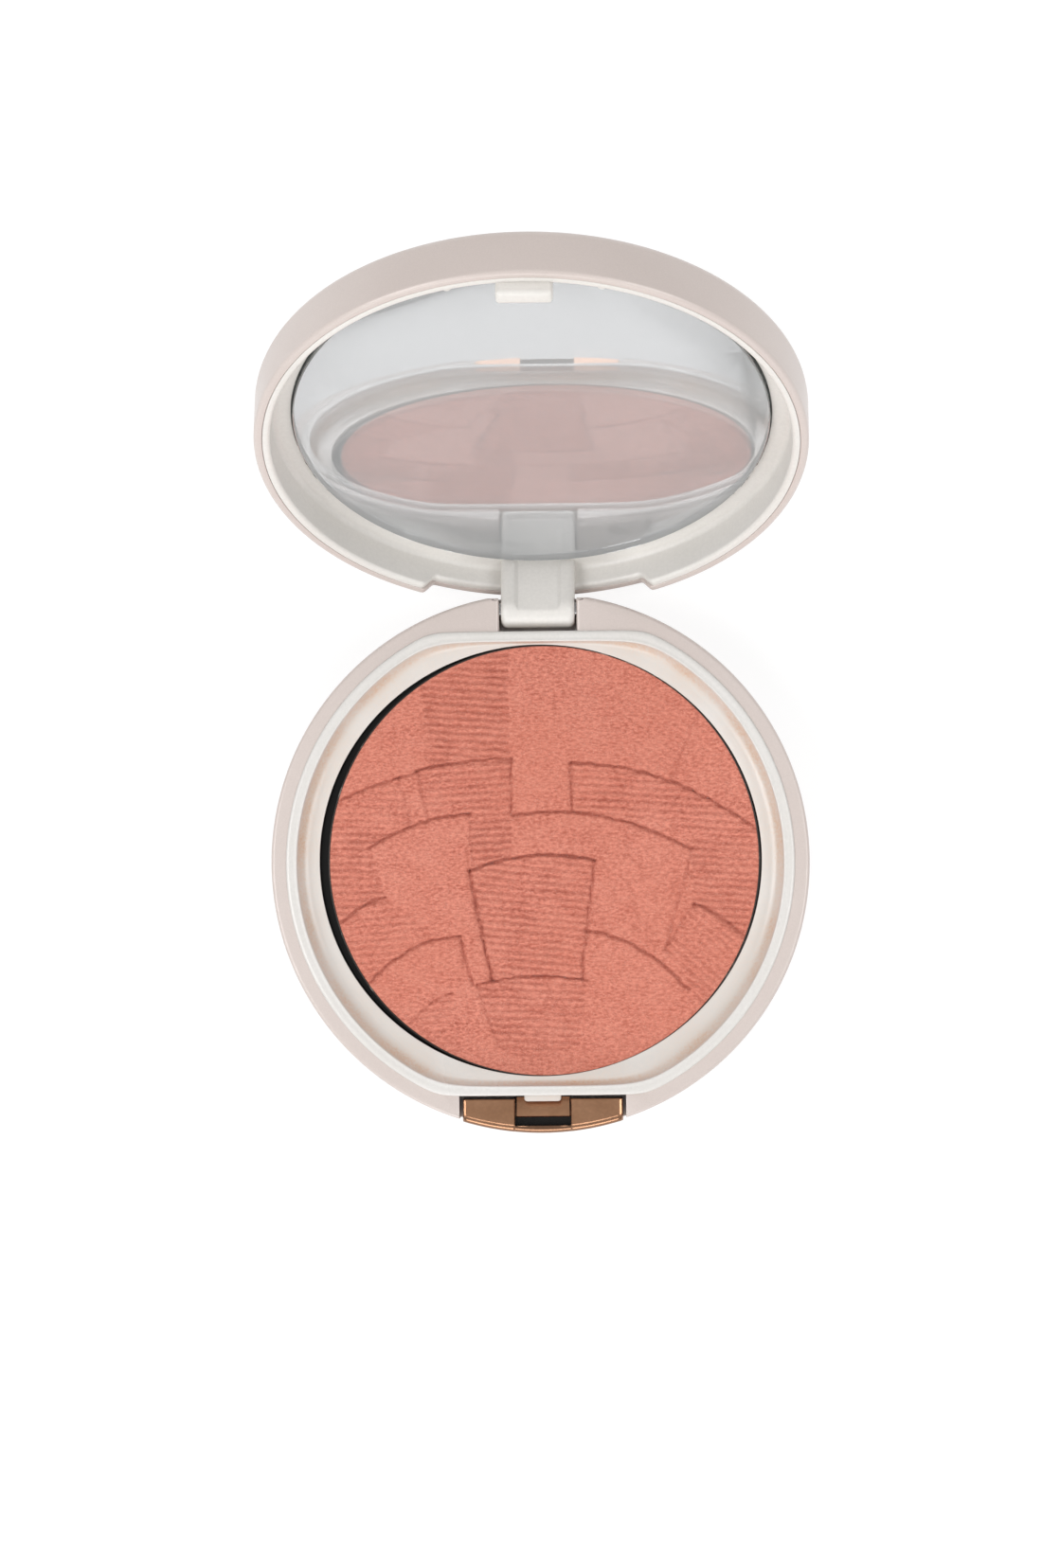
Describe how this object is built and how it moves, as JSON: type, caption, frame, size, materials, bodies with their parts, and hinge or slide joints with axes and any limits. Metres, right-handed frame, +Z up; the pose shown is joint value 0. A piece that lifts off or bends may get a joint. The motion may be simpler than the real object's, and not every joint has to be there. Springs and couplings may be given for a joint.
{
  "type": "powder compact",
  "caption": "Round pressed-powder compact, open: base with a cake in a pan, mirrored lid on a hinge pin, and a wedge button at the front.",
  "frame": {"origin": "middle of the base's flat underside", "axes": "+Z up out of the base, +Y towards the hinge, the latch button at -Y, +X to the right of a person who faces the mirror"},
  "size_m": [0.073, 0.1177, 0.065],
  "materials": {
    "pearl_shell": "satin",
    "ivory_moulding": "satin",
    "liner_moulding": "gloss",
    "dark_tinplate": "satin",
    "clear_glue": "satin",
    "coral_powder": "matte",
    "steel_pin": "satin",
    "bronze_button": "polished",
    "silvered_glass": "polished",
    "adhesive_film": "matte"
  },
  "bodies": {
    "base": {"base_shell": "pearl_shell", "base_frame": "ivory_moulding", "pan": "dark_tinplate", "pan_glue": "clear_glue", "powder_cake": "coral_powder", "hinge_pin": "steel_pin"},
    "lid": {"lid_shell": "pearl_shell", "lid_liner": "liner_moulding", "mirror": "silvered_glass", "mirror_pad": "adhesive_film"},
    "button": {"latch_button": "bronze_button"}
  },
  "joints": [
    {"name": "lid_hinge", "type": "hinge", "parent": "base", "child": "lid", "pos_m": [0, 0.03425, 0.0076], "axis": [1, 0, 0], "range_deg": [0, 124]},
    {"name": "button_press", "type": "slide", "parent": "base", "child": "button", "axis": [0, 1, 0], "range_m": [0, 0.00045]}
  ]
}
